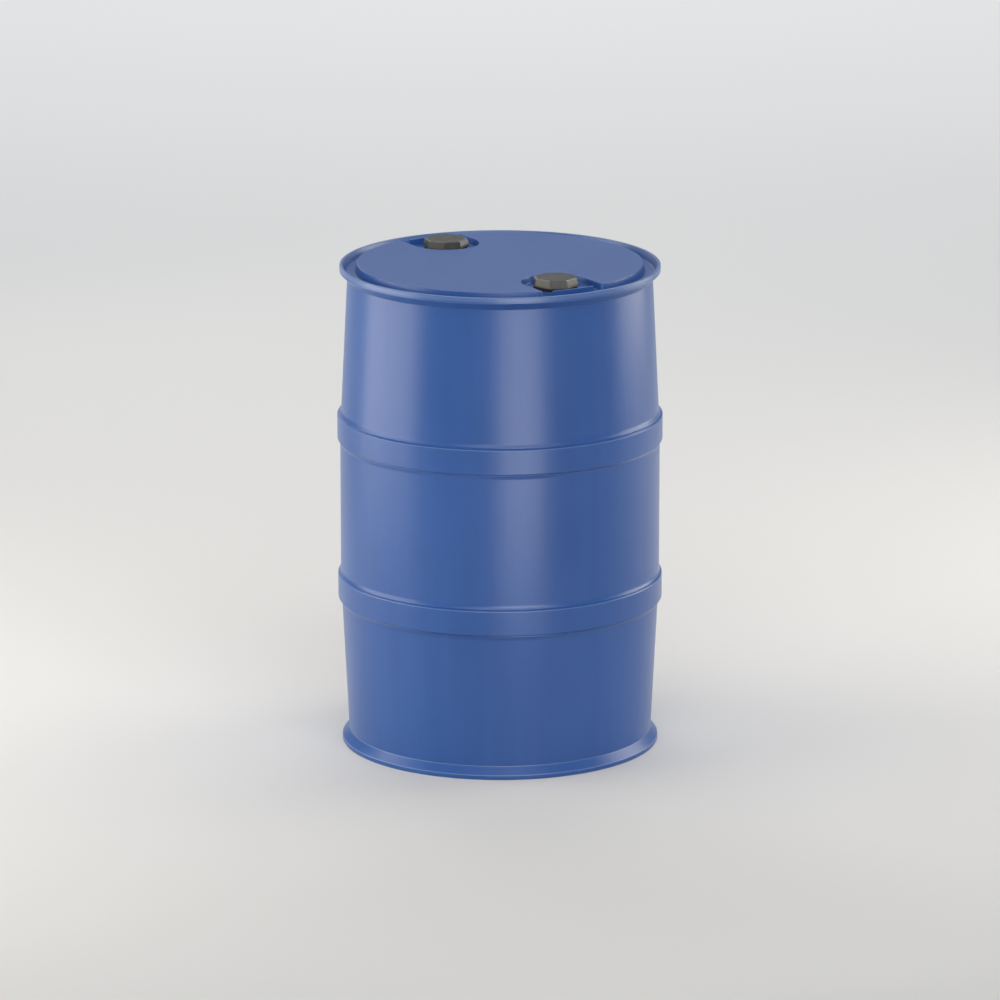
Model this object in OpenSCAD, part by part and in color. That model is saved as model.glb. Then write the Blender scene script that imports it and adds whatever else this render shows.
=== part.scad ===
// Closed-head plastic drum with two screwed bungs in recessed pockets.
// The origin is on the floor under the drum's axis, and +Z is up.
// The front is -Y, and the front bung is turned from it towards +X.

/* [Body] */
// Height from the floor to the top of the rim
drum_h = 886; // [720:1:1080]
// Outside diameter over the rolling bands
band_d = 590; // [480:1:720]
// Thickness of the side wall
wall = 4; // [3:0.1:6]
// Thickness of the head and of the bottom
end_wall = 5; // [4:0.1:7]

/* [Side] */
// How far the middle wall lies inside the bands
middle_inset = 5; // [3:0.5:9]
// How far the wall lies inside the bands where an end cone meets them
cone_inset = 7; // [4:0.5:12]
// How much each end cone narrows towards its end, on the radius
cone_taper = 12; // [6:0.5:18]

/* [Rolling bands] */
// Height of a band's outer face
band_face_h = 43; // [25:1:60]
// Height of the slope above and below a band's face
band_slope_h = 7.5; // [5:0.5:15]
// Height of the lower band's middle above the floor
low_band_z = 292; // [200:1:340]
// Distance of the upper band's middle below the rim's top
high_band_drop = 298; // [200:1:340]

/* [Rim] */
// How far the rim's outer face lies inside the bands
rim_inset = 5; // [2:0.5:8]
// Height of the rim's outer face
rim_face_h = 10.5; // [6:0.5:20]
// Height of the flare under the rim's face
rim_flare_h = 13.5; // [8:0.5:25]
// Width of the rim's top, from its outer face to the channel
rim_w = 5.5; // [4.5:0.5:12]

/* [Foot] */
// How far the foot's outer face lies inside the bands
foot_inset = 6.5; // [3:0.5:9]
// Height of the foot's outer face
foot_face_h = 8; // [5:0.5:15]
// Height of the flare above the foot's face
foot_flare_h = 14; // [8:0.5:25]
// Width of the ring that stands on the floor
foot_ring_w = 20; // [14:1:40]
// Height of the bottom panel's underside above the floor
foot_recess = 9; // [5:0.5:15]

/* [Head] */
// Width of the channel between the rim and the raised head panel
channel_w = 26; // [18:1:40]
// Depth of the channel below the rim's top
channel_depth = 14; // [10:0.5:18]
// Height of the head panel above the rim's top
head_rise = 3; // [1:0.5:8]
// How far a channel side leans between its top and its floor
channel_lean = 3; // [1:0.5:5]

/* [Bung pockets] */
// Direction of the front bung, turned from the front
bung_angle = 31; // [0:1:90]
// Distance of a bung's axis from the head panel's edge
bung_inset = 66.5; // [60:0.5:90]
// Radius of a pocket's round inner end
pocket_r = 60; // [50:1:68]
// Depth of a pocket below the head panel
pocket_depth = 13; // [9:0.5:16]
// Thickness of the guard rib in a pocket's mouth
rib_t = 4.5; // [3:0.5:8]
// Angle that a guard rib covers around the drum's axis
rib_span = 19; // [8:1:24]
// How far a guard rib lies inside the head panel's edge
rib_inset = 1; // [0:0.5:3]

/* [Necks] */
// Diameter of the neck's bore
bore_d = 58.2; // [40:0.1:66]
// Thickness of the neck around its bore
neck_wall = 5; // [3:0.5:8]
// Depth of the neck below the pocket floor
neck_depth = 26; // [18:1:40]
// Height of the sealing collar above the pocket floor
collar_h = 1.5; // [0.5:0.5:3]
// How far the sealing collar stands out past the gasket
collar_lip = 0.8; // [0.5:0.1:6]

/* [Bungs] */
// Radial clearance between a bung's shank and the bore
shank_gap = 0.1; // [0.05:0.05:0.5]
// Length of a bung's shank below its head
shank_l = 31; // [16:0.5:32]
// Thickness of a bung's hollow shank
shank_wall = 5; // [3:0.5:7]
// Chamfer at the shank's lower end
shank_chamfer = 1.5; // [0.5:0.5:3]
// Height of a bung's eight-sided head
bung_head_h = 14.5; // [12:0.5:30]
// How far the head's flats reach past the gasket at their base
bung_head_lip = 0.5; // [0.5:0.1:6]
// How far the head's flats lean in between base and top
bung_head_lean = 3.2; // [0:0.1:6]
// Width of the sloped edge around the head's top
bung_edge_w = 2.8; // [1:0.1:5]
// Height of the sloped edge around the head's top
bung_edge_h = 1.2; // [0.5:0.1:3]
// Thickness of the head's solid top
bung_top_t = 6; // [3:0.5:9]
// How far the front bung's flats are turned
front_turn = 7.5; // [0:0.5:45]
// How far the rear bung's flats are turned
rear_turn = 18.5; // [0:0.5:45]

/* [Gaskets] */
// Thickness of a bung's gasket
gasket_t = 5.5; // [2:0.5:8]
// Width of the gasket's ring
gasket_w = 9.9; // [4:0.1:12]
// Radial gap between the gasket and the shank
gasket_gap = 0.3; // [0.3:0.1:1]
// Gap between the gasket and the head of a seated bung
seat_gap = 0.05; // [0.02:0.01:0.2]

/* [Hidden] */
$fn = 96;
// Width and height of the bevel on the rim's and the foot's outer corner
corner_bevel = 2;
// How far the bottom panel's edge slopes in over the foot's inner side
foot_lean = 3;
// Length by which a cut runs past what it cuts
past = 1;

band_r = band_d / 2;
middle_r = band_r - middle_inset;
cone_r = band_r - cone_inset;
end_r = cone_r - cone_taper;
rim_r = band_r - rim_inset;
foot_r = band_r - foot_inset;
head_r = rim_r - rim_w - channel_w;

band_half = band_face_h / 2;
high_band_z = drum_h - high_band_drop;
head_z = drum_h + head_rise;
channel_z = drum_h - channel_depth;
channel_in_r = head_r + channel_lean;
channel_out_r = rim_r - rim_w - 2 * channel_lean;
rim_neck_z = drum_h - rim_face_h - rim_flare_h;
foot_neck_z = foot_face_h + foot_flare_h;
foot_in_r = foot_r - foot_ring_w;

bung_r = head_r - bung_inset;
pocket_z = head_z - pocket_depth;
bore_r = bore_d / 2;
neck_bottom_z = pocket_z - neck_depth;
collar_z = pocket_z + collar_h;
gasket_in_r = bore_r - shank_gap + gasket_gap;
gasket_out_r = gasket_in_r + gasket_w;
bung_z = collar_z + gasket_t + seat_gap;
shank_r = bore_r - shank_gap;
bung_flat = gasket_out_r + bung_head_lip;

// The side between the two end cones, a given depth inside the outer surface
function side_line(depth) = [
    [end_r - depth, foot_neck_z],
    [cone_r - depth, low_band_z - band_half - band_slope_h],
    [band_r - depth, low_band_z - band_half],
    [band_r - depth, low_band_z + band_half],
    [middle_r - depth, low_band_z + band_half + band_slope_h],
    [middle_r - depth, high_band_z - band_half - band_slope_h],
    [band_r - depth, high_band_z - band_half],
    [band_r - depth, high_band_z + band_half],
    [cone_r - depth, high_band_z + band_half + band_slope_h],
];

module outer_solid() {
    rotate_extrude()
        polygon(concat(
            [
                [0, foot_recess],
                [foot_in_r - foot_lean, foot_recess],
                [foot_in_r, 0],
                [foot_r - corner_bevel, 0],
                [foot_r, corner_bevel],
                [foot_r, foot_face_h],
            ],
            side_line(0),
            [
                [end_r, rim_neck_z],
                [rim_r, rim_neck_z + rim_flare_h],
                [rim_r, drum_h - corner_bevel],
                [rim_r - corner_bevel, drum_h],
                [rim_r - rim_w, drum_h],
                [channel_out_r, channel_z],
                [channel_in_r, channel_z],
                [head_r, head_z],
                [0, head_z],
            ]));
}

module inner_space() {
    rotate_extrude()
        polygon(concat(
            [
                [0, foot_recess + end_wall],
                [foot_in_r - foot_lean, foot_recess + end_wall],
            ],
            side_line(wall),
            [
                [end_r - wall, rim_neck_z - wall],
                [channel_in_r + end_wall, channel_z - end_wall],
                [channel_in_r - end_wall, channel_z - end_wall],
                [head_r - end_wall, head_z - end_wall],
                [0, head_z - end_wall],
            ]));
}

// Places what is modelled around a bung's axis at the front or the rear
module at_bung(turn) {
    rotate([0, 0, bung_angle + turn])
        translate([0, -bung_r, 0])
            children();
}

// A recess with a round inner end, open to the channel at its other end
module pocket(radius, floor_z, reach) {
    translate([0, 0, floor_z])
        linear_extrude(head_z - floor_z + past)
            intersection() {
                union() {
                    circle(radius);
                    translate([-radius, -head_r])
                        square([2 * radius, head_r]);
                }
                translate([0, bung_r])
                    circle(head_r + reach);
            }
}

module guard_rib() {
    translate([0, bung_r, pocket_z - past])
        rotate([0, 0, -90 - rib_span / 2])
            rotate_extrude(angle = rib_span)
                translate([head_r - rib_inset - rib_t, 0])
                    square([rib_t, pocket_depth + past - corner_bevel / 2]);
}

module neck() {
    translate([0, 0, neck_bottom_z])
        cylinder(h = neck_depth, r = bore_r + neck_wall);
}

module bore() {
    translate([0, 0, neck_bottom_z - past])
        cylinder(h = neck_depth + collar_h + 2 * past, r = bore_r);
}

module collar() {
    translate([0, 0, pocket_z - past])
        cylinder(h = collar_h + past, r = gasket_out_r + collar_lip);
}

module drum_body() {
    color([0.24, 0.38, 0.62])
        difference() {
            outer_solid();
            for (turn = [0, 180])
                at_bung(turn)
                    difference() {
                        pocket(pocket_r, pocket_z, channel_lean + past);
                        guard_rib();
                        collar();
                    }
            difference() {
                inner_space();
                for (turn = [0, 180])
                    at_bung(turn) {
                        pocket(pocket_r + end_wall, pocket_z - end_wall, 0);
                        neck();
                    }
            }
            for (turn = [0, 180])
                at_bung(turn)
                    bore();
        }
}

module gasket() {
    translate([0, 0, collar_z])
        difference() {
            cylinder(h = gasket_t, r = gasket_out_r);
            translate([0, 0, -past])
                cylinder(h = gasket_t + 2 * past, r = gasket_in_r);
        }
}

// Two opposite flats of the head, with the sloped edge above them
module head_flats() {
    top_flat = bung_flat - bung_head_lean;
    crown = top_flat - bung_edge_w;
    rotate([90, 0, 0])
        linear_extrude(3 * bung_flat, center = true)
            polygon([
                [-bung_flat, 0],
                [bung_flat, 0],
                [top_flat, bung_head_h - bung_edge_h],
                [crown, bung_head_h],
                [-crown, bung_head_h],
                [-top_flat, bung_head_h - bung_edge_h],
            ]);
}

module bung_head() {
    intersection() {
        head_flats();
        rotate([0, 0, 45]) head_flats();
        rotate([0, 0, 90]) head_flats();
        rotate([0, 0, 135]) head_flats();
    }
}

module bung() {
    hollow_r = shank_r - shank_wall;
    translate([0, 0, bung_z])
        difference() {
            union() {
                bung_head();
                rotate_extrude()
                    polygon([
                        [0, -shank_l],
                        [shank_r - shank_chamfer, -shank_l],
                        [shank_r, shank_chamfer - shank_l],
                        [shank_r, past],
                        [0, past],
                    ]);
            }
            translate([0, 0, -shank_l - past])
                cylinder(h = shank_l + bung_head_h - bung_top_t + past, r = hollow_r);
        }
}

module front_gasket() {
    color([0.06, 0.06, 0.06])
        at_bung(0) gasket();
}

module rear_gasket() {
    color([0.06, 0.06, 0.06])
        at_bung(180) gasket();
}

module front_bung() {
    color([0.27, 0.26, 0.22])
        at_bung(0) rotate([0, 0, front_turn - bung_angle]) bung();
}

module rear_bung() {
    color([0.27, 0.26, 0.22])
        at_bung(180) rotate([0, 0, rear_turn - bung_angle]) bung();
}

drum_body();
front_gasket();
rear_gasket();
front_bung();
rear_bung();
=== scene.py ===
import math

import bmesh
import bpy
from mathutils import Matrix, Vector
from mathutils.geometry import delaunay_2d_cdt

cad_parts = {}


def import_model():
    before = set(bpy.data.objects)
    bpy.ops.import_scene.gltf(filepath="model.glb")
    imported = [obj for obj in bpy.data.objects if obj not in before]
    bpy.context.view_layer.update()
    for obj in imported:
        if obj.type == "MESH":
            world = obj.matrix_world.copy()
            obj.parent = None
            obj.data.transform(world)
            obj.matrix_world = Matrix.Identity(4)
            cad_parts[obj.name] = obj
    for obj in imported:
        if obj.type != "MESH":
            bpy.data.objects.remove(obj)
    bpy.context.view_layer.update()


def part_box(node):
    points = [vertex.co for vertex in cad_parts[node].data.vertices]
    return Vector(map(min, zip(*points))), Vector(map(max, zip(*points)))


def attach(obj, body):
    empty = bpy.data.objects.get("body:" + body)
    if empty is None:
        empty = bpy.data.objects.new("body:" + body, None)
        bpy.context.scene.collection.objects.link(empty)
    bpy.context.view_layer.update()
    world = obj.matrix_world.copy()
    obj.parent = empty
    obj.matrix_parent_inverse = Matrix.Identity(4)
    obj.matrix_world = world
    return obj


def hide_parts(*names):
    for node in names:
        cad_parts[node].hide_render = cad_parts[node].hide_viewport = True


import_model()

mm = 0.001
scene = bpy.context.scene


class Wire:
    # one output of a node; sums of wires add the Math nodes they need
    def __init__(self, graph, socket):
        self.graph, self.socket = graph, socket

    def maths(self, operation, *values):
        return self.graph.node("ShaderNodeMath", {"operation": operation}, dict(enumerate(values)))

    def __add__(self, other):
        return self.maths("ADD", self, other)

    def __radd__(self, other):
        return self.maths("ADD", other, self)

    def __sub__(self, other):
        return self.maths("SUBTRACT", self, other)

    def __rsub__(self, other):
        return self.maths("SUBTRACT", other, self)

    def __mul__(self, other):
        return self.maths("MULTIPLY", self, other)

    def __rmul__(self, other):
        return self.maths("MULTIPLY", other, self)

    def __truediv__(self, other):
        return self.maths("DIVIDE", self, other)

    def __rtruediv__(self, other):
        return self.maths("DIVIDE", other, self)

    def __abs__(self):
        return self.maths("ABSOLUTE", self)

    def __gt__(self, other):
        return self.maths("GREATER_THAN", self, other)

    def __lt__(self, other):
        return self.maths("LESS_THAN", self, other)

    def out(self, name):
        return Wire(self.graph, self.socket.node.outputs[name])

    def between(self, low, high):  # 0 at low, 1 at high, eased and held outside them
        return self.graph.node("ShaderNodeMapRange", {"interpolation_type": "SMOOTHSTEP"},
                               {"Value": self, "From Min": low, "From Max": high})


class Graph:
    # adds nodes to a tree and links whatever wires they are given
    def __init__(self, tree):
        self.tree = tree

    def node(self, kind, settings=None, values=None, out=0):
        made = self.tree.nodes.new(kind)
        for name, value in (settings or {}).items():
            if name == "items":  # an index switch's count
                while len(made.index_switch_items) < value:
                    made.index_switch_items.new()
            else:
                setattr(made, name, value)
        for name, value in (values or {}).items():
            socket = made.inputs[name]
            if isinstance(value, Wire):
                self.tree.links.new(value.socket, socket)
            else:
                socket.default_value = value
        return Wire(self, made.outputs[out]) if len(made.outputs) else made


def objectFrom(name, mesh, material=None):
    thing = bpy.data.objects.new(name, mesh)
    scene.collection.objects.link(thing)
    if material:
        mesh.materials.clear()
        mesh.materials.append(material)
    return thing


def meshFrom(name, points, faces):
    mesh = bpy.data.meshes.new(name)
    mesh.from_pydata(points, [], faces)
    mesh.validate()
    return mesh


def frozen(thing):
    # the evaluated shape as a plain mesh, with every modifier gone
    bpy.context.view_layer.update()
    seen = thing.evaluated_get(bpy.context.evaluated_depsgraph_get())
    mesh = bpy.data.meshes.new_from_object(seen, preserve_all_data_layers=True,
                                           depsgraph=bpy.context.evaluated_depsgraph_get())
    thing.modifiers.clear()
    thing.data = mesh
    return thing


def weighted(thing):
    # wide faces lead the shading, so flats stay flat beside a rounding
    for face in thing.data.polygons:
        face.use_smooth = True
    step = thing.modifiers.new("evenShading", "WEIGHTED_NORMAL")
    step.mode, step.keep_sharp = "FACE_AREA", True
    return frozen(thing)


def loft(rings, capped=True):
    # rings of equal count, joined in turn; capped ends are closed with a fan
    points, faces = [], []
    count = len(rings[0])
    for ring in rings:
        points += ring
    for k in range(len(rings) - 1):
        a, b = k * count, (k + 1) * count
        for i in range(count):
            j = (i + 1) % count
            faces.append((a + i, a + j, b + j, b + i))
    if capped:
        last = (len(rings) - 1) * count
        for ring, first, flipped in ((rings[0], 0, True), (rings[-1], last, False)):
            points.append(tuple(sum(p[k] for p in ring) / count for k in range(3)))
            for i in range(count):
                j = (i + 1) % count
                corners = (first + j, first + i) if flipped else (first + i, first + j)
                faces.append((*corners, len(points) - 1))
    return points, faces


tidyReach = 2e-5


def tidied(mesh, reach):
    # joins points that meet, turns the faces outward, and counts the edges without just two faces
    shape = bmesh.new()
    shape.from_mesh(mesh)
    bmesh.ops.remove_doubles(shape, verts=shape.verts, dist=reach)
    bmesh.ops.delete(shape, geom=[e for e in shape.edges if not e.link_faces], context="EDGES")
    bmesh.ops.delete(shape, geom=[v for v in shape.verts if not v.link_edges], context="VERTS")
    bmesh.ops.recalc_face_normals(shape, faces=shape.faces)
    unpaired = sum(1 for e in shape.edges if len(e.link_faces) != 2)
    shape.to_mesh(mesh)
    shape.free()
    return unpaired


def roundedLine(corners, steps):
    # corners are (across, up, rounding); gives the line with each corner rounded
    line = []
    for k, (x, z, r) in enumerate(corners):
        here = Vector((x, z))
        if r <= 0 or k in (0, len(corners) - 1):
            line.append((x, z))
            continue
        back = (Vector(corners[k - 1][:2]) - here).normalized()
        ahead = (Vector(corners[k + 1][:2]) - here).normalized()
        half = math.acos(max(-1, min(1, back.dot(ahead)))) / 2
        reach = r / math.tan(half)
        centre = here + (back + ahead).normalized() * (r / math.sin(half))
        start, end = here + back * reach - centre, here + ahead * reach - centre
        turn = start.angle_signed(end)
        for n in range(steps + 1):
            spot = centre + Matrix.Rotation(-turn * n / steps, 2) @ start
            line.append((spot.x, spot.y))
    return line


def circleOf(radius, z, count, centre=(0, 0), start=0.0):
    return [(centre[0] + radius * math.cos(start + 2 * math.pi * i / count),
             centre[1] + radius * math.sin(start + 2 * math.pi * i / count), z) for i in range(count)]


# places and main sizes taken from the solid model
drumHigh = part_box("drum_body")[1]
bandRadius = drumHigh.x
headTop = drumHigh.z


def boxMiddle(node):
    low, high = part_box(node)
    return (low + high) / 2


bungAxes = {side: boxMiddle(side + "_gasket") for side in ("front", "rear")}
gasketLow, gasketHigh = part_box("front_gasket")
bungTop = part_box("front_bung")[1].z
bungRadius = bungAxes["front"].xy.length
bungDirection = math.atan2(bungAxes["front"].y, bungAxes["front"].x)
print("places read from the solid model")

wallSizes = {
    "Band Radius": bandRadius,
    "Head Top": headTop,
    "Rim Drop": 0.003,
    "Wall": 0.004,
    "End Wall": 0.005,
    "Middle Inset": 0.005,
    "Cone Inset": 0.007,
    "Cone Taper": 0.012,
    "Band Half": 0.0215,
    "Band Slope": 0.0075,
    "Crease Round": 0.014,
    "Groove Place": 0.35,
    "Groove Half": 0.15,
    "Groove Depth": 0.0013,
    "Low Band": 0.292,
    "High Band Drop": 0.298,
    "Rim Inset": 0.005,
    "Rim Face": 0.0105,
    "Rim Flare": 0.0135,
    "Rim Width": 0.0055,
    "Foot Inset": 0.0065,
    "Foot Face": 0.008,
    "Foot Flare": 0.014,
    "Foot Ring": 0.020,
    "Foot Recess": 0.009,
    "Channel Width": 0.026,
    "Channel Depth": 0.014,
    "Channel Lean": 0.003,
    "Outer Seam": 0.275,
    "Inner Seam": 0.263,
    "Recess Lean": 0.003,
    "Channel Floor Round": 0.0022,
    "Rim Inner Round": 0.0010,
    "Rim Outer Round": 0.0018,
    "Rim Under Round": 0.0010,
    "Rim Neck Round": 0.0020,
    "Cone End Round": 0.0012,
    "Groove Round": 0.0002,
    "Band Edge Round": 0.0008,
    "Foot Face Round": 0.0010,
    "Foot Outer Round": 0.0016,
    "Foot Inner Round": 0.0020,
    "Recess Round": 0.0030,
    "Inner Floor Round": 0.0040,
    "Inner Crease Round": 0.0022,
    "Inner Edge Round": 0.0010,
    "Inner Neck Round": 0.0030,
    "Inner Channel Round": 0.0015,
}
seamReach = 1e-5
segments = 256
roundingSteps = 4


def newFinish(name, colour):
    material = bpy.data.materials.new(name)
    material.use_nodes = True
    material.node_tree.nodes.clear()
    material.diffuse_color = (*colour, 1)
    return material, Graph(material.node_tree)


def objectPlace(graph):
    return graph.node("ShaderNodeTexCoord", out="Object")


def bumped(graph, strength, height):
    return graph.node("ShaderNodeBump", None, {"Strength": strength, "Distance": 1.0, "Height": height})


def closeFinish(graph, values, constants):
    surface = graph.node("ShaderNodeBsdfPrincipled", None, {**constants, **values})
    graph.node("ShaderNodeOutputMaterial", None, {"Surface": surface})


def noise(graph, place, scale, detail, rough, stretch=(1, 1, 1)):
    spot = graph.node("ShaderNodeMapping", None, {"Vector": place, "Scale": stretch})
    return graph.node("ShaderNodeTexNoise", {"noise_dimensions": "3D"},
                      {"Vector": spot, "Scale": scale, "Detail": detail, "Roughness": rough}, out="Fac")


def blended(graph, amount, first, second):
    # the numbers are the colour mix's own sockets
    return graph.node("ShaderNodeMix", {"data_type": "RGBA", "blend_type": "MIX", "clamp_factor": True},
                      {0: amount, 6: first, 7: second}, out=2)


drumFinish = {
    "blue": (0.024, 0.090, 0.316),
    "deepBlue": (0.021, 0.084, 0.302),
    "paleBlue": (0.027, 0.096, 0.330),
    "roughness": 0.30, "cloudRoughness": 0.04, "fineRoughness": 0.05,
    # scale, detail, roughness of each pattern
    "clouds": (4.0, 3.0, 0.5),
    "streaks": (26.0, 4.0, 0.6),
    "grain": (900.0, 2.0, 0.6),
    "waves": (9.0, 1.0, 0.4),
    "fine": (160.0, 2.0, 0.5),
    "streakStretch": (1, 1, 0.04),
    "streakShare": 0.45, "toneFrom": 0.36, "toneTo": 0.64,
    "grainHeight": 0.00004, "waveHeight": 0.00010, "fineHeight": 0.00003, "bump": 0.6,
    "partingHeight": 0.0004, "partingWidth": 0.0012, "partingCore": 0.35,
    "partingReach": 0.026, "partingLowest": 0.010, "partingDrop": 0.018,
    # painted highlight colour, laid on the rim's outer face and along the foot, rim and band edges
    "paintedHighlightBlue": (0.150, 0.235, 0.430),
    "highlightLineWidth": 0.0011, "highlightLineCore": 0.4, "highlightReach": 0.022,
    "highlightBase": 0.7, "highlightClouds": 0.6, "rimFaceFrom": 0.0100, "rimFaceTo": 0.0050,
    "footEdge": 0.75, "footNeck": 0.55, "rimEdge": 0.25, "rimFace": 0.45, "bandEdge": 0.45,
}


def blueMouldedPlastic():
    s, w = drumFinish, wallSizes
    material, graph = newFinish("blueMouldedPlastic", s["blue"])
    place = objectPlace(graph)
    x = graph.node("ShaderNodeSeparateXYZ", None, {0: place}, out="X")
    y, z = x.out("Y"), x.out("Z")
    square = x * x + y * y
    radius = square.maths("SQRT", square)

    clouds = noise(graph, place, *s["clouds"])
    streaks = noise(graph, place, *s["streaks"], s["streakStretch"])  # the melt runs down as it is blown
    tone = clouds * (1 - s["streakShare"]) + streaks * s["streakShare"]
    tone = tone.between(s["toneFrom"], s["toneTo"])
    colour = blended(graph, tone, (*s["deepBlue"], 1), (*s["paleBlue"], 1))

    def highlightLineAt(height, amount):  # a thin ring round the drum, a painted highlight: lighter blue along an edge where it would catch light
        width = s["highlightLineWidth"]
        return (1 - abs(z - height).between(width * s["highlightLineCore"], width)) * amount

    rim = headTop - w["Rim Drop"]
    lowEdge, highEdge = (band + w["Band Half"] for band in (w["Low Band"], rim - w["High Band Drop"]))
    # painted highlight: the rim's outer face is lightened as if it reflected a bright light, and thin lines
    # are lightened at the edges
    edges = z.between(rim - s["rimFaceFrom"], rim - s["rimFaceTo"]) * s["rimFace"]
    for height, amount in ((w["Foot Face"], "footEdge"), (w["Foot Face"] + w["Foot Flare"], "footNeck"),
                           (rim - w["Rim Face"], "rimEdge"), (lowEdge, "bandEdge"), (highEdge, "bandEdge")):
        edges = edges + highlightLineAt(height, s[amount])
    edges = edges * (radius > bandRadius - s["highlightReach"])
    edges = edges * (s["highlightBase"] + clouds * s["highlightClouds"])
    # the painted highlight is mixed into the blue, unevenly where the clouds vary
    colour = blended(graph, edges.maths("MINIMUM", edges, 1.0), colour, (*s["paintedHighlightBlue"], 1))

    grain, waves, fine = (noise(graph, place, *s[name]) for name in ("grain", "waves", "fine"))
    onSide = radius > bandRadius - s["partingReach"]
    onSide = onSide * (z > s["partingLowest"]) * (z < headTop - s["partingDrop"])
    parting = abs(y).between(s["partingWidth"] * s["partingCore"], s["partingWidth"])
    height = grain * s["grainHeight"] + waves * s["waveHeight"] + fine * s["fineHeight"]
    height = height + (1 - parting) * onSide * s["partingHeight"]
    rough = s["roughness"] + (clouds - 0.5) * s["cloudRoughness"] + (fine - 0.5) * s["fineRoughness"]
    normal = bumped(graph, s["bump"], height)
    closeFinish(graph, {"Base Color": colour, "Roughness": rough, "Normal": normal},
                {"IOR": 1.52, "Metallic": 0.0, "Specular IOR Level": 0.5})
    return material


bungFinish = {
    "olive": (0.040, 0.040, 0.031),
    "dark": (0.031, 0.031, 0.025),
    "dust": (0.060, 0.059, 0.048),
    "roughness": 0.27, "cloudRoughness": 0.12, "grainRoughness": 0.08,
    "clouds": (38.0, 3.0, 0.5),
    "grain": (1400.0, 2.0, 0.6),
    "fine": (320.0, 3.0, 0.5),
    "toneFrom": 0.32, "toneTo": 0.68,
    "dustFrom": 0.55, "dustTo": 0.75, "dustShare": 0.35,
    "grainHeight": 0.00005, "fineHeight": 0.00004, "bump": 0.7,
}


def olivePlastic():
    s = bungFinish
    material, graph = newFinish("olivePlastic", s["olive"])
    place = objectPlace(graph)
    clouds, grain, fine = (noise(graph, place, *s[name]) for name in ("clouds", "grain", "fine"))
    tone = clouds.between(s["toneFrom"], s["toneTo"])
    colour = blended(graph, tone, (*s["dark"], 1), (*s["olive"], 1))
    dusted = fine.between(s["dustFrom"], s["dustTo"]) * s["dustShare"]
    colour = blended(graph, dusted, colour, (*s["dust"], 1))
    bump = bumped(graph, s["bump"], grain * s["grainHeight"] + fine * s["fineHeight"])
    rough = s["roughness"] + (clouds - 0.5) * s["cloudRoughness"] + (grain - 0.5) * s["grainRoughness"]
    closeFinish(graph, {"Base Color": colour, "Roughness": rough, "Normal": bump}, {"IOR": 1.5})
    return material


rubberFinish = {
    "black": (0.012, 0.012, 0.012),
    "bloom": (0.024, 0.024, 0.025),
    "roughness": 0.62, "cloudRoughness": 0.16,
    "clouds": (90.0, 3.0, 0.5),
    "grain": (1800.0, 2.0, 0.5),
    "bloomFrom": 0.4, "bloomTo": 0.7,
    "grainHeight": 0.00004, "bump": 0.5,
}


def blackRubber():
    s = rubberFinish
    material, graph = newFinish("blackRubber", s["black"])
    place = objectPlace(graph)
    clouds, grain = (noise(graph, place, *s[name]) for name in ("clouds", "grain"))
    bloom = clouds.between(s["bloomFrom"], s["bloomTo"])
    colour = blended(graph, bloom, (*s["black"], 1), (*s["bloom"], 1))
    bump = bumped(graph, s["bump"], grain * s["grainHeight"])
    rough = s["roughness"] + (clouds - 0.5) * s["cloudRoughness"]
    closeFinish(graph, {"Base Color": colour, "Roughness": rough, "Normal": bump}, {"IOR": 1.5})
    return material


drumPlastic, bungPlastic, rubber = blueMouldedPlastic(), olivePlastic(), blackRubber()
print("finishes made")


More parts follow.
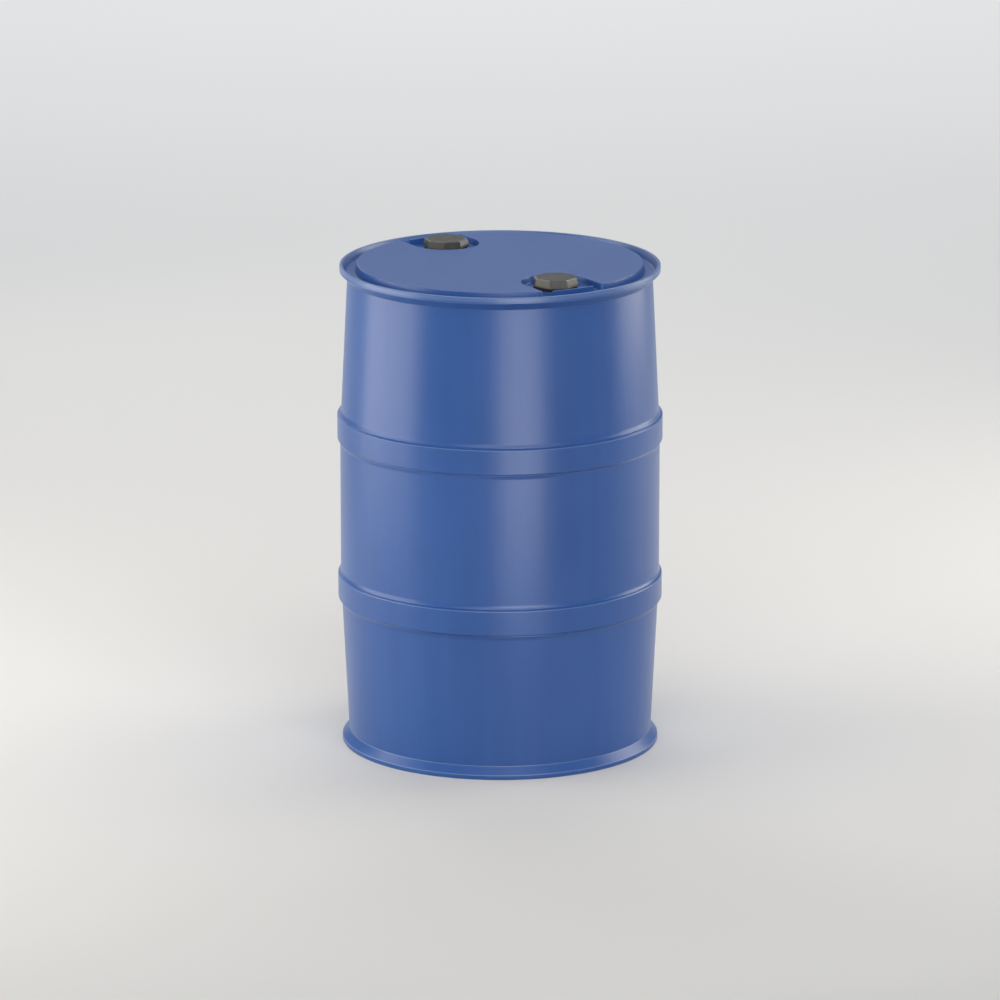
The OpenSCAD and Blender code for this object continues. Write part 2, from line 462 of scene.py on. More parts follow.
def wallOutline(s):
    # (radius, height, rounding) of each corner, from the channel floor round the outside to
    # the axis under the bottom, then back up the inside to the head's underside
    rim = s["Head Top"] - s["Rim Drop"]
    band, wall = s["Band Radius"], s["Wall"]
    middle, cone = band - s["Middle Inset"], band - s["Cone Inset"]
    end = cone - s["Cone Taper"]
    rimRadius, foot = band - s["Rim Inset"], band - s["Foot Inset"]
    footInner = foot - s["Foot Ring"]
    half, slope = s["Band Half"], s["Band Slope"]
    low, high = s["Low Band"], rim - s["High Band Drop"]
    channel = rim - s["Channel Depth"]
    channelOuter = rimRadius - s["Rim Width"] - s["Channel Lean"] * 2
    channelInner = rimRadius - s["Rim Width"] - s["Channel Width"] + s["Channel Lean"]
    rimNeck = rim - s["Rim Face"] - s["Rim Flare"]
    footNeck = s["Foot Face"] + s["Foot Flare"]
    floor = s["Foot Recess"] + s["End Wall"]
    # each band's edge, the crease beyond it, and the wall's radius there
    levels = ((low - half, low - half - slope, cone), (low + half, low + half + slope, middle),
              (high - half, high - half - slope, middle), (high + half, high + half + slope, cone))

    def side(first, cornersOf):
        line = [first]
        for k, level in enumerate(levels):
            corners = cornersOf(*level)
            line += corners if k % 2 == 0 else reversed(corners)
        return line

    def inside(edge, crease, wallRadius):
        return [(wallRadius - wall, crease, s["Inner Crease Round"]),
                (band - wall, edge, s["Inner Edge Round"])]

    def outside(edge, crease, wallRadius):
        # the wall sweeps up to each band, and a fine groove marks the band's edge
        def onSlope(share, deep=0.0):  # share is 0 on the band's edge and 1 on the wall
            return (band + (wallRadius - band) * share - deep, edge + (crease - edge) * share,
                    s["Groove Round"])

        groove, nick = s["Groove Place"], s["Groove Half"]
        return [(wallRadius, crease, s["Crease Round"]),
                onSlope(groove + nick), onSlope(groove, s["Groove Depth"]), onSlope(groove - nick),
                (band, edge, s["Band Edge Round"])]

    return [
        (s["Outer Seam"], channel, 0.0),
        (channelOuter, channel, s["Channel Floor Round"]),
        (rimRadius - s["Rim Width"], rim, s["Rim Inner Round"]),
        (rimRadius, rim, s["Rim Outer Round"]),
        (rimRadius, rim - s["Rim Face"], s["Rim Under Round"]),
        (end, rimNeck, s["Rim Neck Round"]),
        *reversed(side((end, footNeck, s["Cone End Round"]), outside)),
        (foot, s["Foot Face"], s["Foot Face Round"]),
        (foot, 0.0, s["Foot Outer Round"]),
        (footInner, 0.0, s["Foot Inner Round"]),
        (footInner - s["Recess Lean"], s["Foot Recess"], s["Recess Round"]),
        (0.0, s["Foot Recess"], 0.0),
        (0.0, floor, 0.0),
        (footInner - s["Recess Lean"], floor, s["Inner Floor Round"]),
        *side((end - wall, footNeck, s["Cone End Round"]), inside),
        (end - wall, rimNeck - wall, s["Inner Neck Round"]),
        (channelInner + s["End Wall"], channel - s["End Wall"], s["Inner Channel Round"]),
        (s["Inner Seam"], channel - s["End Wall"], 0.0),
    ]


def turnedWallTree():
    tree = bpy.data.node_groups.new("turnedWall", "GeometryNodeTree")
    tree.interface.new_socket("Geometry", in_out="OUTPUT", socket_type="NodeSocketGeometry")
    graph = Graph(tree)
    names = {}
    for name, value in wallSizes.items():
        socket = tree.interface.new_socket(name, in_out="INPUT", socket_type="NodeSocketFloat")
        socket.default_value = value
        names[name] = socket.identifier
    for name, value in (("Segments", segments), ("Rounding Steps", roundingSteps)):
        socket = tree.interface.new_socket(name, in_out="INPUT", socket_type="NodeSocketInt")
        socket.default_value = value
        names[name] = socket.identifier
    socket = tree.interface.new_socket("Material", in_out="INPUT", socket_type="NodeSocketMaterial")
    names["Material"] = socket.identifier
    given = graph.node("NodeGroupInput")
    sizes = {name: given.out(name) for name in wallSizes}
    corners = wallOutline(sizes)

    # a line with one point a corner picks each point's place and rounding by its index
    index = graph.node("GeometryNodeInputIndex")
    spots = {"Index": index}
    rounds = {"Index": index}
    for k, (r, z, rounding) in enumerate(corners):
        spots[str(k)] = graph.node("ShaderNodeCombineXYZ", None, {"X": r, "Z": z})
        rounds[str(k)] = rounding
    count = len(corners)
    line = graph.node("GeometryNodeMeshLine", None, {"Count": count})
    spot = graph.node("GeometryNodeIndexSwitch", {"data_type": "VECTOR", "items": count}, spots)
    rounding = graph.node("GeometryNodeIndexSwitch", {"data_type": "FLOAT", "items": count}, rounds)
    line = graph.node("GeometryNodeSetPosition", None, {"Geometry": line, "Position": spot})
    line = graph.node("GeometryNodeMeshToCurve", None, {"Mesh": line})
    line = graph.node("GeometryNodeFilletCurve", {"mode": "POLY"},
                      {"Curve": line, "Count": given.out("Rounding Steps"), "Radius": rounding})
    line = graph.node("GeometryNodeCurveToPoints", {"mode": "EVALUATED"}, {"Curve": line}, out="Points")
    rows = graph.node("GeometryNodeAttributeDomainSize", {"component": "POINTCLOUD"}, {0: line},
                      out="Point Count")

    # a sheet of rows by columns is wound round the axis
    turns = given.out("Segments") + 1
    sheet = graph.node("GeometryNodeMeshGrid", None, {"Vertices X": rows, "Vertices Y": turns}, out="Mesh")
    index = graph.node("GeometryNodeInputIndex")
    row = (index + 0.5) / turns
    row = row.maths("FLOOR", row)
    angle = (index - row * turns) * (2 * math.pi) / given.out("Segments")
    position = graph.node("GeometryNodeInputPosition")
    found = graph.node("GeometryNodeSampleIndex", {"data_type": "FLOAT_VECTOR", "domain": "POINT"},
                       {"Geometry": line, "Value": position, "Index": row})
    parts = graph.node("ShaderNodeSeparateXYZ", None, {0: found}, out="X")
    around = graph.node("ShaderNodeCombineXYZ", None, {
        "X": parts * angle.maths("COSINE", angle), "Y": parts * angle.maths("SINE", angle),
        "Z": parts.out("Z")})
    sheet = graph.node("GeometryNodeSetPosition", None, {"Geometry": sheet, "Position": around})
    sheet = graph.node("GeometryNodeMergeByDistance", None, {"Geometry": sheet, "Distance": seamReach})
    sheet = graph.node("GeometryNodeRealizeInstances", None, {"Geometry": sheet})
    sheet = graph.node("GeometryNodeSetMaterial", None,
                       {"Geometry": sheet, "Material": given.out("Material")})
    graph.node("NodeGroupOutput", None, {"Geometry": sheet})
    return tree, names


def grown(name, tree, names, values):
    # runs a tree on an empty mesh and keeps the plain result
    thing = objectFrom(name, bpy.data.meshes.new(name))
    step = thing.modifiers.new("grown", "NODES")
    step.node_group = tree
    for key, value in values.items():
        step[names[key]] = value
    return frozen(thing)


tree, names = turnedWallTree()
drumWall = grown("drumWall", tree, names, {
    **wallSizes, "Segments": segments, "Rounding Steps": roundingSteps, "Material": drumPlastic})
print("drum wall turned:", len(drumWall.data.vertices), "points")


# all in millimetres
headSizes = {
    "edgeRadius": 258.5, "pocketRadius": 61.2, "mouthCorner": 6.0,
    "top": 889.0, "pocketFloor": 876.0, "channelFloor": 872.0,
    "lean": 3.0 / 17.0, "topRound": 1.4, "floorRound": 2.6, "stepRound": 1.0,
    "seam": 275.0, "holeRadius": 31.0,
}
linerSizes = {  # the same panel seen from inside the drum
    "edgeRadius": 253.5, "pocketRadius": 66.2, "mouthCorner": 2.5,
    "top": 884.0, "pocketFloor": 871.0, "channelFloor": 867.0,
    "lean": 3.0 / 17.0, "topRound": 3.5, "floorRound": 1.8, "stepRound": 1.0,
    "seam": 263.0, "holeRadius": 37.0,
}
ribSizes = {"radius": 255.25, "half": 1.95, "span": 19.0, "top": 888.0, "lean": 0.04, "round": 1.0,
            "foot": 1.2, "reach": 8.0, "steps": 32, "capSteps": 8, "arcs": 3}
collarSizes = {"radius": 39.7, "top": 877.5, "lean": 0.35, "round": 0.5, "foot": 0.5, "reach": 5.0,
               "arcs": 2}
# the floor's rounding eases out towards the mouth: how far from the edge, over how far, and its least
easing = {"inset": 1.5, "fade": 7.0, "least": 0.02}
outlineSteps = {"corner": 10, "straight": 8, "round": 28}
ringPoints = 96
loopGap = 0.08  # outlines closer than this are kept once
angleGap = 1e-6
pointGap = 1e-4
holeSlack = 1e-3
neckSizes = {"bore": 30.1, "boreTop": 876.2, "foot": 850.0, "outer": 34.2, "root": 34.6,
             "rounds": (0.3, 0.6, 0.8, 2.0), "arcs": 3}
shellReach = 3e-5


def wallHeight(d, top, bottom, lean, topRound, floorRound, start=0.0):
    # height of a leaning wall at d outside its top edge, rounded above and below
    cosine = math.cos(math.atan(lean))
    d = d - start
    first = topRound * lean - topRound / cosine
    if d <= first:
        return top
    if d < first + topRound * cosine:
        return top - topRound + math.sqrt(max(0, topRound ** 2 - (d - first) ** 2))
    height = top - d / lean
    if floorRound > 0:
        last = (top - bottom - floorRound) * lean + floorRound / cosine
        if d >= last:
            return bottom
        if d > last - floorRound * cosine:
            arc = bottom + floorRound - math.sqrt(max(0, floorRound ** 2 - (d - last) ** 2))
            return max(height, arc)
    return max(height, bottom)


def wallSteps(top, bottom, lean, topRound, floorRound, start=0.0, arcs=4):
    # the distances at which the wall's slope changes
    tilt = math.atan(lean)
    cosine = math.cos(tilt)
    first = topRound * lean - topRound / cosine
    last = (top - bottom - floorRound) * lean + floorRound / cosine
    sines = [math.sin((math.pi / 2 - tilt) * k / arcs) for k in range(arcs + 1)]
    steps = [first + topRound * sine for sine in sines]
    if floorRound > 0:
        steps += [last - floorRound * sine for sine in reversed(sines)]
    return [start + d for d in steps]


def headSurface(s, finished):
    # a height field over the head: the panel, its channel and both pockets; the finished side
    # has the ribs and the collars too
    bungR = bungRadius / mm
    rib, collar = ribSizes, collarSizes
    ribLimit = math.radians(rib["span"] / 2) - rib["half"] / rib["radius"]
    ribWall = (rib["top"], s["pocketFloor"], rib["lean"], rib["round"], rib["foot"], rib["half"])
    collarWall = (collar["top"], s["pocketFloor"], collar["lean"], collar["round"], collar["foot"])
    turns = (bungDirection + math.pi / 2, bungDirection + math.pi * 1.5)
    edge, pocket, rho = s["edgeRadius"], s["pocketRadius"], s["mouthCorner"]
    cornerX = pocket + rho
    cornerY = math.sqrt((edge - rho) ** 2 - cornerX ** 2)
    cornerAngle = math.atan2(cornerY, cornerX)

    def local(x, y, turn):
        # into a pocket's own frame, its mouth towards +Y
        c, sn = math.cos(turn), math.sin(turn)
        return -(x * c + y * sn), -(-x * sn + y * c)

    def world(x, y, turn):
        c, sn = math.cos(turn), math.sin(turn)
        x, y = -x, -y
        return x * c - y * sn, x * sn + y * c

    def pocketDistance(x, y):  # below zero inside the pocket
        if y > bungR:
            return abs(x) - pocket
        return math.hypot(x, y - bungR) - pocket

    def panelDistance(x, y):  # below zero on the raised panel
        ring = math.hypot(x, y) - edge
        out = -min(pocketDistance(*local(x, y, turn)) for turn in turns)
        if ring > -rho and out > -rho:
            return min(-rho, max(ring, out)) + math.hypot(max(ring + rho, 0), max(out + rho, 0))
        return max(ring, out)

    stepStart = (s["top"] - s["pocketFloor"]) * s["lean"]

    def heightAt(x, y):
        r = math.hypot(x, y)
        ease = max(0.0, min(1.0, (edge - easing["inset"] - r) / easing["fade"]))
        soft = s["floorRound"] * ease * ease * (3 - 2 * ease)
        d = panelDistance(x, y)
        base = wallHeight(r - edge, s["pocketFloor"], s["channelFloor"], s["lean"],
                          s["stepRound"], s["floorRound"], stepStart)
        if soft > easing["least"]:
            high = wallHeight(d, s["top"], s["pocketFloor"], s["lean"], s["topRound"], soft)
            high = high if high > s["pocketFloor"] else base
        else:
            below = s["channelFloor"] - 1
            high = wallHeight(d, s["top"], below, s["lean"], s["topRound"], 0.0)
        z = max(high, base)
        if not finished:
            return z
        for turn in turns:
            u, v = local(x, y, turn)
            held = max(-ribLimit, min(ribLimit, math.atan2(u, v)))
            d = math.hypot(u - rib["radius"] * math.sin(held), v - rib["radius"] * math.cos(held))
            if d < rib["reach"]:
                z = max(z, wallHeight(d, *ribWall))
            d = math.hypot(u, v - bungR)
            if d < collar["radius"] + collar["reach"]:
                z = max(z, wallHeight(d, *collarWall, collar["radius"]))
        return z

    def panelLoop(d):
        # the raised panel's outline, d outside its top edge
        line = []
        bend, straight, half = (outlineSteps[name] for name in ("corner", "straight", "round"))
        for side, turn in enumerate(turns):
            corner = []
            for k in range(bend + 1):  # mouth corner, from the panel's edge into the pocket
                a = cornerAngle + (math.pi - cornerAngle) * k / bend
                corner.append((cornerX + (rho + d) * math.cos(a), cornerY + (rho + d) * math.sin(a)))
            for k in range(1, straight):
                corner.append((pocket - d, cornerY + (bungR - cornerY) * k / straight))
            for k in range(half + 1):  # the pocket's round end, half of it
                a = -math.pi / 2 * k / half
                corner.append(((pocket - d) * math.cos(a), bungR + (pocket - d) * math.sin(a)))
            whole = corner + [(-x, y) for x, y in reversed(corner[:-1])]
            line += [world(x, y, turn) for x, y in whole]
            # along the panel's edge to the next pocket
            leave = math.atan2(line[-1][1], line[-1][0])
            enterX, enterY = world(cornerX + (rho + d) * math.cos(cornerAngle),
                                   cornerY + (rho + d) * math.sin(cornerAngle), turns[1 - side])
            enter = math.atan2(enterY, enterX)
            if leave < enter:
                leave += 2 * math.pi
            step = 2 * math.pi / segments
            k = math.ceil(leave / step) - 1
            while k * step > enter + angleGap:
                if abs(k * step - leave) > angleGap:
                    line.append(((edge + d) * math.cos(k * step), (edge + d) * math.sin(k * step)))
                k -= 1
        return line

    def fullCircle(d):
        angles = [2 * math.pi * k / segments for k in range(segments)]
        for turn in turns:
            for sign in (1, -1):
                x, y = world(sign * math.cos(cornerAngle), math.sin(cornerAngle), turn)
                angles.append(math.atan2(y, x) % (2 * math.pi))
        angles.sort()
        kept = [a for i, a in enumerate(angles) if a - angles[i - 1] > angleGap or i == 0]
        return [((edge + d) * math.cos(a), (edge + d) * math.sin(a)) for a in kept]

    def ribLoop(d):
        # the rib's outline, d outside its middle line: one long side and one round end at a time
        loop = []
        for way in (1, -1):
            tip, reach = ribLimit * way, rib["radius"] + d * way
            for k in range(rib["steps"] + 1):
                a = -tip + 2 * tip * k / rib["steps"]
                loop.append((reach * math.sin(a), reach * math.cos(a)))
            for k in range(1, rib["capSteps"]):
                a = tip + math.pi * (k / rib["capSteps"] + (1 - way) / 2)
                loop.append((rib["radius"] * math.sin(tip) + d * math.sin(a),
                             rib["radius"] * math.cos(tip) + d * math.cos(a)))
        return loop

    panelSteps = wallSteps(s["top"], s["pocketFloor"], s["lean"], s["topRound"], s["floorRound"])
    ringSteps = wallSteps(s["pocketFloor"], s["channelFloor"], s["lean"], s["stepRound"], s["floorRound"],
                          stepStart)
    loops = [panelLoop(d) for d in panelSteps]
    loops += [fullCircle(d) for d in ringSteps if min(abs(d - other) for other in panelSteps) > loopGap]
    loops.append(circleOf(s["seam"], 0, segments))
    holes = [world(0, bungR, turn) for turn in turns]
    for turn, centre in zip(turns, holes):
        loops.append(circleOf(s["holeRadius"], 0, ringPoints, centre))
        if finished:
            loops += [circleOf(collar["radius"] + d, 0, ringPoints, centre)
                      for d in wallSteps(*collarWall, arcs=collar["arcs"])]
            ribLoops = [ribLoop(d) for d in wallSteps(*ribWall, arcs=rib["arcs"])]
            loops += [[world(x, y, turn) for x, y in loop] for loop in ribLoops]

    flat, edges = [], []
    for loop in loops:
        first = len(flat)
        flat += [Vector((p[0], p[1])) for p in loop]
        edges += [(first + i, first + (i + 1) % len(loop)) for i in range(len(loop))]
    points, _, faces, *_ = delaunay_2d_cdt(flat, edges, [], 0, pointGap)
    hole = s["holeRadius"] + holeSlack

    def inHole(face):
        return any(all(math.hypot(points[i].x - x, points[i].y - y) < hole for i in face)
                   for x, y in holes)

    made = [(p.x * mm, p.y * mm, heightAt(p.x, p.y) * mm) for p in points]
    faces = [tuple(f) for f in faces if not inHole(f)]
    return made, faces


def neckRings(centre):
    # from the collar down the bore and up the outside of the neck
    s, liner = neckSizes, linerSizes
    rim, foot, outside, root = s["rounds"]
    line = roundedLine([
        (headSizes["holeRadius"], collarSizes["top"], 0),
        (s["bore"], s["boreTop"], rim),
        (s["bore"], s["foot"], foot),
        (s["outer"], s["foot"], outside),
        (s["root"], liner["pocketFloor"], root),
        (liner["holeRadius"], liner["pocketFloor"], 0),
    ], s["arcs"])
    return [circleOf(r * mm, z * mm, ringPoints, centre) for r, z in line]


def joined(parts):
    points, faces = [], []
    for somePoints, someFaces in parts:
        first = len(points)
        points += [tuple(p) for p in somePoints]
        faces += [tuple(first + i for i in face) for face in someFaces]
    return points, faces


def finishedPiece(name, points, faces, material, reach=tidyReach):
    piece = objectFrom(name, meshFrom(name, points, faces), material)
    print(name, "unpaired edges:", tidied(piece.data, reach), "faces:", len(piece.data.polygons))
    weighted(piece)


wallMesh = drumWall.data
parts = [headSurface(headSizes, True), headSurface(linerSizes, False),
         ([v.co for v in wallMesh.vertices], [p.vertices for p in wallMesh.polygons])]
parts += [loft(neckRings(axis.xy), False) for axis in bungAxes.values()]
points, faces = joined(parts)
bpy.data.objects.remove(drumWall)
finishedPiece("drumShell", points, faces, drumPlastic, shellReach)


threadSizes = {
    "Pitch": 0.005,
    "Ridge Base": 0.0026,
    "Ridge Crest": 0.0013,
    "Ridge Height": 0.0020,
    "Growth": 5.0,  # the ridge grows to its full size in a fifth of a turn
    "Tip": 0.02,
    "Steps A Turn": 72,
}
# lowest point, turns and radius, the way its ridge faces (1 is outward), and its plastic
threadPlaces = {
    "NeckThread": (0.8535, 3.8, 0.0303, -1, drumPlastic),
    "BungThread": (0.8560, 3.4, 0.0278, 1, bungPlastic),
}


def threadTree():
    # a ridge of trapezoid section wound along a helix, thinning out at both ends
    tree = bpy.data.node_groups.new("screwThread", "GeometryNodeTree")
    tree.interface.new_socket("Geometry", in_out="OUTPUT", socket_type="NodeSocketGeometry")
    graph, names = Graph(tree), {}
    inputs = {
        "Radius": "Float", "Ridge Height": "Float", "Turns": "Float", "Pitch": "Float",
        "Ridge Base": "Float", "Ridge Crest": "Float", "Growth": "Float", "Tip": "Float",
        "Steps A Turn": "Int", "Section Turn": "Float", "Base": "Vector", "Material": "Material",
    }
    for name, kind in inputs.items():
        socket = tree.interface.new_socket(name, in_out="INPUT", socket_type="NodeSocket" + kind)
        names[name] = socket.identifier
    given = graph.node("NodeGroupInput")
    turns, radius = given.out("Turns"), given.out("Radius")
    helix = graph.node("GeometryNodeCurveSpiral", None, {
        "Resolution": given.out("Steps A Turn"), "Rotations": turns, "Start Radius": radius,
        "End Radius": radius, "Height": given.out("Pitch") * turns, "Reverse": False})
    helix = graph.node("GeometryNodeSetCurveNormal", {"mode": "Z_UP"}, {"Curve": helix})
    helix = graph.node("GeometryNodeSetCurveTilt", None,
                       {"Curve": helix, "Tilt": given.out("Section Turn")})
    along = graph.node("GeometryNodeSplineParameter", out="Factor")
    ends = along.maths("MINIMUM", along, 1 - along) * turns * given.out("Growth")
    size = ends.maths("MINIMUM", ends, 1.0)
    size = size.maths("MAXIMUM", size, given.out("Tip"))
    section = graph.node("GeometryNodeCurvePrimitiveQuadrilateral", {"mode": "TRAPEZOID"}, {
        "Bottom Width": given.out("Ridge Base"), "Top Width": given.out("Ridge Crest"),
        "Height": given.out("Ridge Height"), "Offset": 0.0})
    shift = graph.node("ShaderNodeCombineXYZ", None, {"Y": given.out("Ridge Height") * 0.5})
    section = graph.node("GeometryNodeTransform", None, {"Geometry": section, "Translation": shift})
    ridge = graph.node("GeometryNodeCurveToMesh", None,
                       {"Curve": helix, "Profile Curve": section, "Scale": size, "Fill Caps": True})
    ridge = graph.node("GeometryNodeTransform", None,
                       {"Geometry": ridge, "Translation": given.out("Base")})
    ridge = graph.node("GeometryNodeRealizeInstances", None, {"Geometry": ridge})
    ridge = graph.node("GeometryNodeSetMaterial", None,
                       {"Geometry": ridge, "Material": given.out("Material")})
    graph.node("NodeGroupOutput", None, {"Geometry": ridge})
    return tree, names


threadGraph, threadNames = threadTree()
for side, axis in bungAxes.items():
    for name, (low, turns, radius, way, material) in threadPlaces.items():
        thread = grown(side + name, threadGraph, threadNames, {
            **threadSizes, "Radius": radius, "Turns": turns, "Section Turn": math.pi / 2 * way,
            "Base": (axis.x, axis.y, low), "Material": material})
        print(thread.name, "wound:", len(thread.data.vertices), "points")


bungSizes = {
    "baseFlat": 39.7, "topFlat": 36.5, "crownFlat": 33.7, "edgeHeight": 1.2,
    "cornerRound": 0.8, "edgeRound": 0.4, "headHeight": 14.5, "shankLength": 31.0,
    "plainRadius": 29.0, "coreRadius": 28.0, "hollowRadius": 24.0, "topThickness": 6.0,
    "turns": {"front": 7.5, "rear": 18.5},
    "faceRings": (1.0, 12.0, 22.0), "faceEdge": 30.5, "baseRound": 0.6, "baseInner": 35.5,
    # the shank's root, the step from its plain part to its core, its tip, and the hollow
    "root": 31.0, "rootRound": 0.6, "stepHigh": 4.6, "stepLow": 5.4, "stepRound": 0.3,
    "tipIn": 1.4, "tipUp": 1.6, "tipRound": 0.4, "mouthRound": 0.8, "hollowRound": 3.0,
    "hollowRings": (8.0, 1.0), "arcs": 4,
}
flatTurn = 45  # degrees from one flat of the octagon to the next
flatPoints, cornerPoints = 7, 5  # both make ringPoints over the eight flats
seamTurn = 0.03  # the round rings start this far on from the octagon's corner


def octagon(half, corner, z, turn, centre):
    # eight flats at half from the axis, rounded where they meet
    ring = []
    out = half - corner
    reach = out * math.tan(math.radians(flatTurn / 2))
    for k in range(360 // flatTurn):
        normal = turn + math.radians(flatTurn * k)
        cosine, sine = math.cos(normal), math.sin(normal)
        for n in range(flatPoints):
            along = -reach + 2 * reach * (n + 1) / (flatPoints + 1)
            ring.append((half * cosine - along * sine, half * sine + along * cosine))
        for n in range(cornerPoints):
            a = normal + math.radians(flatTurn * n / (cornerPoints - 1))
            ring.append((out * cosine - reach * sine + corner * math.cos(a),
                         out * sine + reach * cosine + corner * math.sin(a)))
    return [(centre[0] + x * mm, centre[1] + y * mm, z * mm) for x, y in ring]


def bungRings(side):
    s = bungSizes
    centre = bungAxes[side].xy
    top = bungTop / mm
    base = top - s["headHeight"]
    foot = base - s["shankLength"]
    roof = top - s["topThickness"]
    turn = math.radians(s["turns"][side])
    first = turn - math.radians(flatTurn / 2) + seamTurn

    def circles(line):
        return [circleOf(r * mm, z * mm, ringPoints, centre, first) for r, z in line]

    head = roundedLine([
        (s["faceEdge"], top, 0),
        (s["crownFlat"], top, s["edgeRound"]),
        (s["topFlat"], top - s["edgeHeight"], s["edgeRound"]),
        (s["baseFlat"], base, s["baseRound"]),
        (s["baseInner"], base, 0),
    ], s["arcs"])
    shank = roundedLine([
        (s["root"], base, 0),
        (s["plainRadius"], base, s["rootRound"]),
        (s["plainRadius"], base - s["stepHigh"], s["stepRound"]),
        (s["coreRadius"], base - s["stepLow"], s["stepRound"]),
        (s["coreRadius"], foot + s["tipUp"], s["tipRound"]),
        (s["coreRadius"] - s["tipIn"], foot, s["tipRound"]),
        (s["hollowRadius"], foot, s["mouthRound"]),
        (s["hollowRadius"], roof, s["hollowRound"]),
        *((r, roof, 0) for r in s["hollowRings"]),
    ], s["arcs"])
    rings = circles((r, top) for r in s["faceRings"])
    rings += [octagon(half, s["cornerRound"] * half / s["baseFlat"], z, turn, centre) for half, z in head]
    return rings + circles(shank)


for side in bungAxes:
    finishedPiece(side + "BungHead", *loft(bungRings(side)), bungPlastic)


gasketSizes = {"inner": 29.3, "outer": 39.2, "rounding": 0.7, "arcs": 5, "points": 128}


def gasketRings(centre):
    s = gasketSizes
    low, high = gasketLow.z, gasketHigh.z
    inner, outer, r = s["inner"] * mm, s["outer"] * mm, s["rounding"] * mm
    middle = (inner + outer) / 2
    line = roundedLine([(middle, low, 0), (outer, low, r), (outer, high, r), (inner, high, r),
                        (inner, low, r), (middle, low, 0)], s["arcs"])
    return [circleOf(across, z, s["points"], centre) for across, z in line]


for side, axis in bungAxes.items():
    finishedPiece(side + "GasketRing", *loft(gasketRings(axis.xy), False), rubber)


stageSizes = {
    "lens": 247.9, "sensor": 36.0, "farClip": 200,
    "distance": 12.53, "elevation": 14.264, "aim": 0.4456,
    "floor": (0.66, 0.66, 0.66), "floorHalf": 60.0, "floorRoughness": 0.9, "floorShine": 0.1,
    "world": (0.92, 0.96, 1.0), "worldStrength": 0.30,
    # direction round the drum from the front, distance, lowest, highest, width, radiance
    "lamps": {
        "leftPanel": (-85, 2.4, 0.05, 2.2, 2.3, 3.3),
        "frontPanel": (14.0, 1.6, 0.03, 1.0, 0.82, 3.6),
        "rightPanel": (112, 3.0, 0.30, 2.5, 1.9, 3.8),
    },
    "lampColour": (1.0, 0.92, 0.80),
    "overhead": (0.0, 0.2, 4.2, 3.6, 0.5),
    "backPanel": ((-1.5, 3.6, 1.7), (1.8, 1.0), 1.15),
    "backAim": (0, 0, 0.8),
    "washPanel": ((0.0, 9.0, 8.0), (10.0, 6.0), 3.0),  # evens out the floor behind
    "sun": (1.4, 60, 8, 35),  # strength, spread, direction round from the front, elevation
}


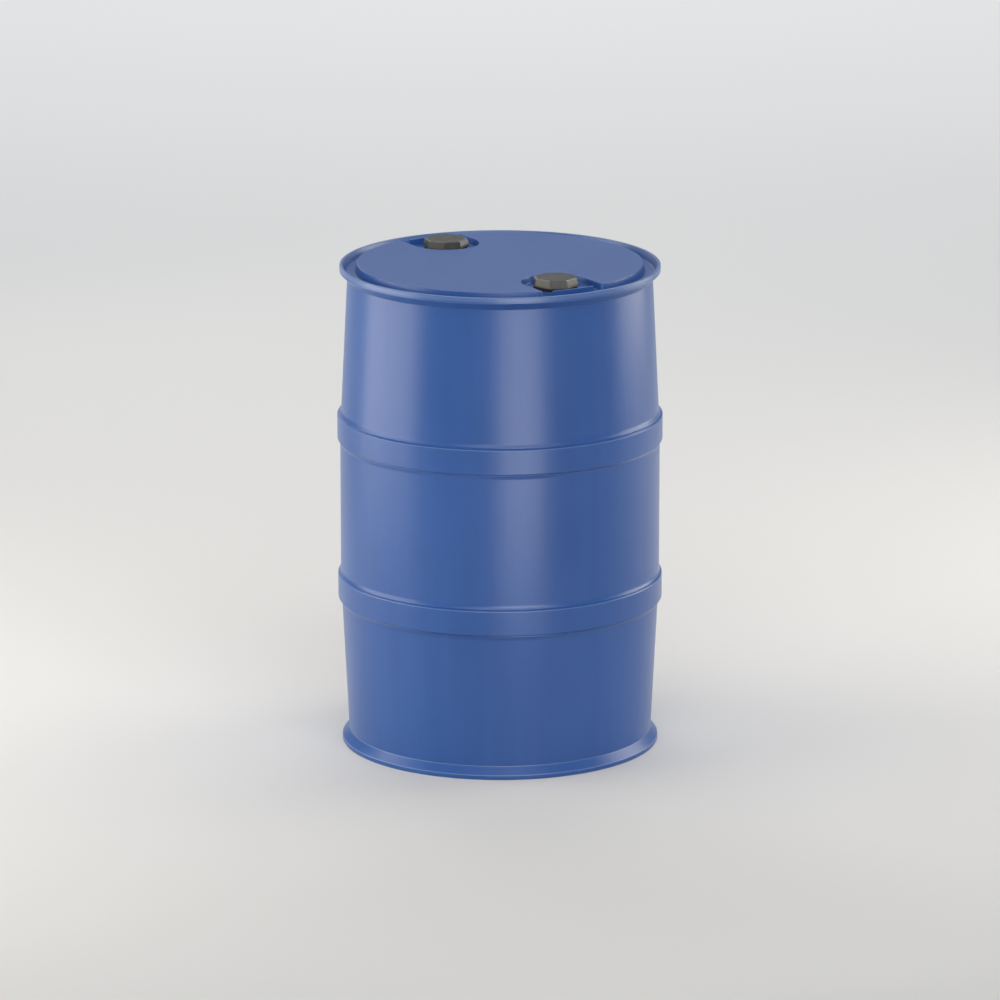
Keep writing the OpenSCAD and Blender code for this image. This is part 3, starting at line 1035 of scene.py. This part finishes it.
def studio():
    s = stageSizes
    lift = math.radians(s["elevation"])
    camera = bpy.data.objects.new("camera", bpy.data.cameras.new("camera"))
    scene.collection.objects.link(camera)
    camera.data.lens, camera.data.sensor_width = s["lens"], s["sensor"]
    camera.data.clip_end = s["farClip"]
    camera.location = (0, -s["distance"] * math.cos(lift), s["aim"] + s["distance"] * math.sin(lift))
    camera.rotation_euler = (math.pi / 2 - lift, 0, 0)
    scene.camera = camera

    half = s["floorHalf"]
    corners = [(-half, -half, 0), (half, -half, 0), (half, half, 0), (-half, half, 0)]
    floor = objectFrom("floor", meshFrom("floor", corners, [(0, 1, 2, 3)]))
    material, graph = newFinish("palePaper", s["floor"])
    closeFinish(graph, {}, {"Base Color": (*s["floor"], 1), "Roughness": s["floorRoughness"],
                            "Specular IOR Level": s["floorShine"]})
    floor.data.materials.append(material)

    world = bpy.data.worlds.new("studio")
    scene.world = world
    world.use_nodes = True
    world.node_tree.nodes.clear()
    graph = Graph(world.node_tree)
    sky = graph.node("ShaderNodeBackground", None,
                     {"Color": (*s["world"], 1), "Strength": s["worldStrength"]})
    graph.node("ShaderNodeOutputWorld", None, {"Surface": sky})

    def panel(name, spot, aim, width, tall, radiance, colour=(1, 1, 1)):
        lamp = bpy.data.lights.new(name, "AREA")
        lamp.shape, lamp.size, lamp.size_y = "RECTANGLE", width, tall
        lamp.energy, lamp.color = radiance * math.pi * width * tall, colour
        thing = bpy.data.objects.new(name, lamp)
        thing.location = spot
        thing.rotation_euler = (Vector(aim) - Vector(spot)).to_track_quat("-Z", "Y").to_euler()
        scene.collection.objects.link(thing)
        thing.visible_camera = False
        return thing

    for name, (turn, away, lowest, highest, width, radiance) in s["lamps"].items():
        turn, height = math.radians(turn), (lowest + highest) / 2
        lamp = panel(name, (away * math.sin(turn), -away * math.cos(turn), height), (0, 0, height),
                     width, highest - lowest, radiance, s["lampColour"])
        lamp.visible_diffuse = name != "frontPanel"  # stands low, and would burn a patch on the floor
    x, y, height, width, radiance = s["overhead"]
    panel("overheadPanel", (x, y, height), (x, y, 0), width, width, radiance)
    spot, (width, tall), radiance = s["backPanel"]
    panel("backPanel", spot, s["backAim"], width, tall, radiance, s["lampColour"])
    spot, (width, tall), radiance = s["washPanel"]
    panel("washPanel", spot, (spot[0], spot[1], 0), width, tall, radiance)

    strength, spread, turn, climb = s["sun"]
    lamp = bpy.data.lights.new("sun", "SUN")
    lamp.energy, lamp.angle = strength, math.radians(spread)
    sun = bpy.data.objects.new("sun", lamp)
    sun.rotation_euler = (math.radians(90 - climb), 0, math.radians(turn))
    scene.collection.objects.link(sun)


studio()
print("stage set")

riders = {
    "drumShell": ("drum", "drum_body", "drum_plastic"),
    "frontNeckThread": ("drum", None, "drum_plastic"),
    "rearNeckThread": ("drum", None, "drum_plastic"),
    "frontBungHead": ("front_screw", "front_bung", "bung_plastic"),
    "rearBungHead": ("rear_screw", "rear_bung", "bung_plastic"),
    "frontBungThread": ("front_screw", None, "bung_plastic"),
    "rearBungThread": ("rear_screw", None, "bung_plastic"),
    "frontGasketRing": ("front_seal", "front_gasket", "gasket_rubber"),
    "rearGasketRing": ("rear_seal", "rear_gasket", "gasket_rubber"),
}
for name, (body, node, slot) in riders.items():
    piece = bpy.data.objects[name]
    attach(piece, body)
    if node:
        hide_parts(node)

scene.view_settings.view_transform = "Standard"
print("pieces on their bodies")
